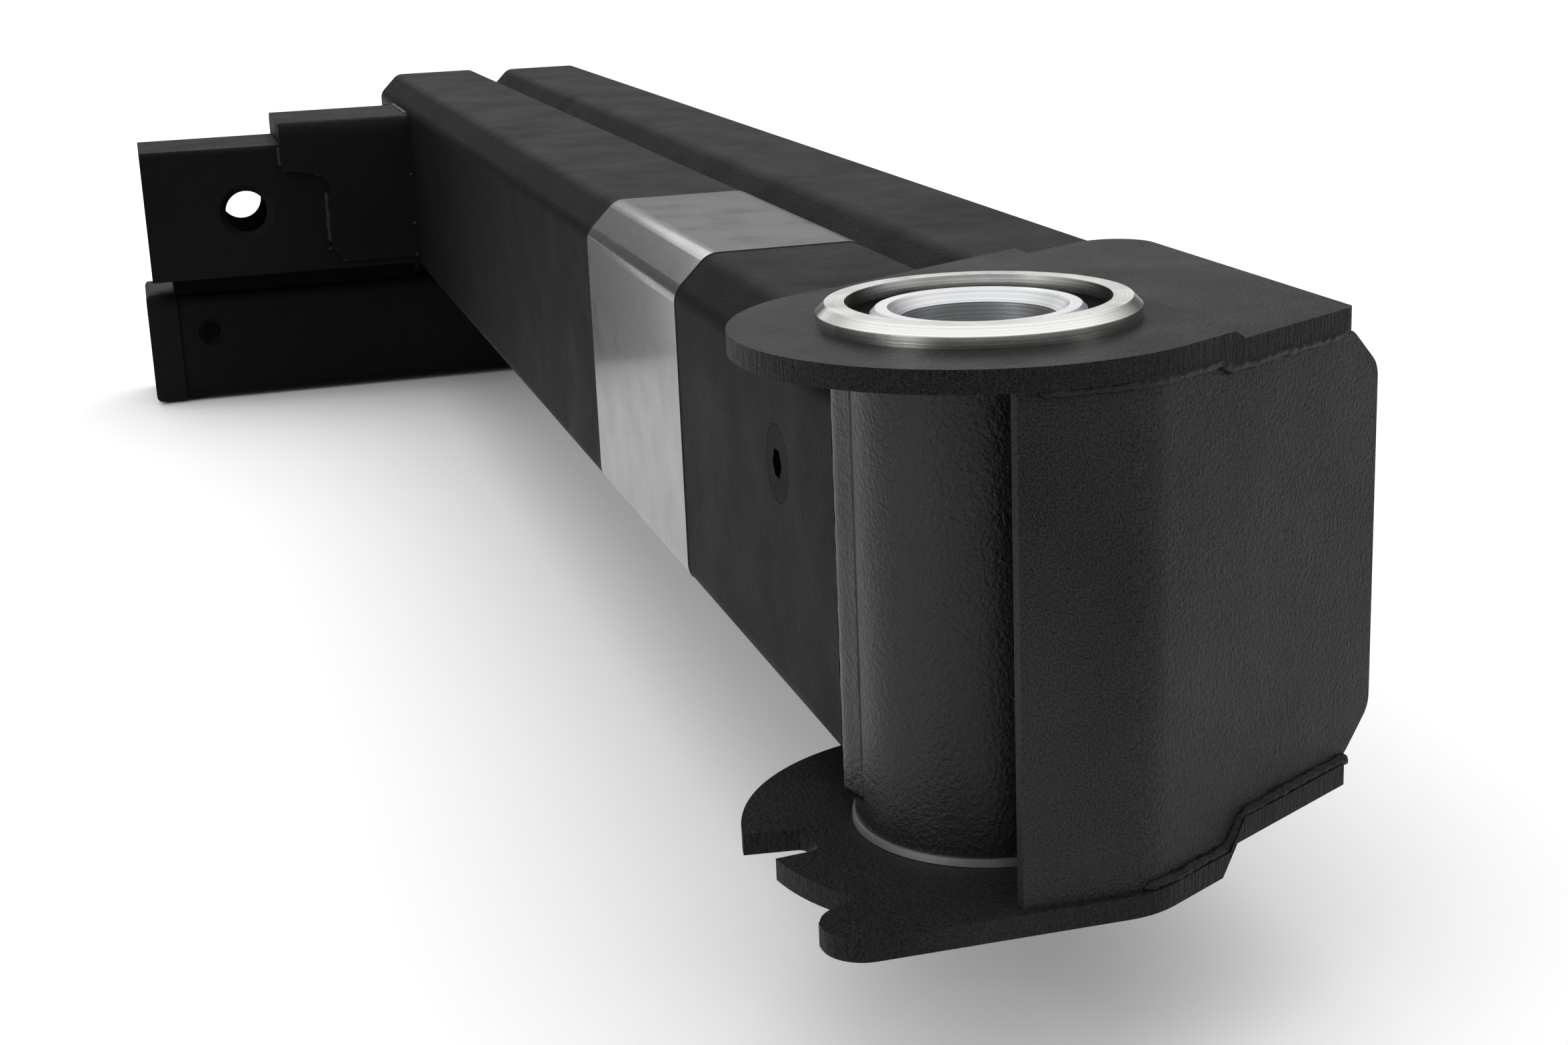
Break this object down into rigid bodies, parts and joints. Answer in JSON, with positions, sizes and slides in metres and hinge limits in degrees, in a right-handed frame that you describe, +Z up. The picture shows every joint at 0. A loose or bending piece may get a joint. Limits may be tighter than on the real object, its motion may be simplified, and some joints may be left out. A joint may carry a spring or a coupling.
{
  "type": "swing-away hitch extension",
  "caption": "Black steel pivot arm for a 2 inch hitch receiver: a fixed yoke arm and a swinging arm with its own 2 inch rack receiver, closed.",
  "frame": {"origin": "spindle axis at half the height of the fixed arm", "axes": "+X along both arms away from the spindle, +Y towards the rack side, +Z up along the spindle"},
  "size_m": [0.8994, 0.4455, 0.1524],
  "materials": {
    "powder": "fine textured satin black powder coat",
    "textured_powder": "coarse textured black powder coat",
    "steel": "turned and polished stainless steel",
    "aluminium": "turned",
    "bronze": "sintered bronze",
    "zinc": "zinc plated",
    "plastic": "moulded",
    "rubber": "matte",
    "reflective": "retroreflective film"
  },
  "bodies": {
    "fixed_frame": {"hitch_shank": "powder", "shank_end_cap": "plastic", "cap_rivet": "steel", "fixed_arm": "powder", "fixed_arm_end_cap": "plastic", "yoke_top_plate": "textured_powder", "yoke_bottom_plate": "textured_powder", "yoke_wrap_plate": "textured_powder", "spindle": "aluminium", "spindle_collar": "steel", "spindle_nut": "zinc", "spindle_dust_seal": "rubber"},
    "swing_frame": {"pivot_barrel": "textured_powder", "upper_bushing": "bronze", "lower_bushing": "bronze", "upper_thrust_washer": "zinc", "lower_thrust_washer": "zinc", "swing_arm": "powder", "reflective_band": "reflective", "swing_arm_end_cap": "plastic", "rack_receiver": "powder", "receiver_saddle": "textured_powder", "receiver_rest_pad": "plastic", "pawl_keeper": "zinc", "spring_anchor": "zinc", "anchor_screw": "zinc", "anchor_nut": "zinc", "pawl_spring": "steel"},
    "detent_pawl": {"pawl": "zinc", "release_rod": "zinc"},
    "pull_ring": {"release_ring": "steel"}
  },
  "joints": [
    {"name": "arm_swing", "type": "hinge", "parent": "fixed_frame", "child": "swing_frame", "pos_m": [0, 0, 0], "axis": [0, 0, 1], "range_deg": [0, 120]},
    {"name": "pawl_slide", "type": "slide", "parent": "swing_frame", "child": "detent_pawl", "axis": [1, 0, 0], "range_m": [-0.0034, 0]},
    {"name": "ring_hang", "type": "hinge", "parent": "detent_pawl", "child": "pull_ring", "pos_m": [0.844, 0, -0.03], "axis": [0, 1, 0], "range_deg": [-70, 70]}
  ]
}
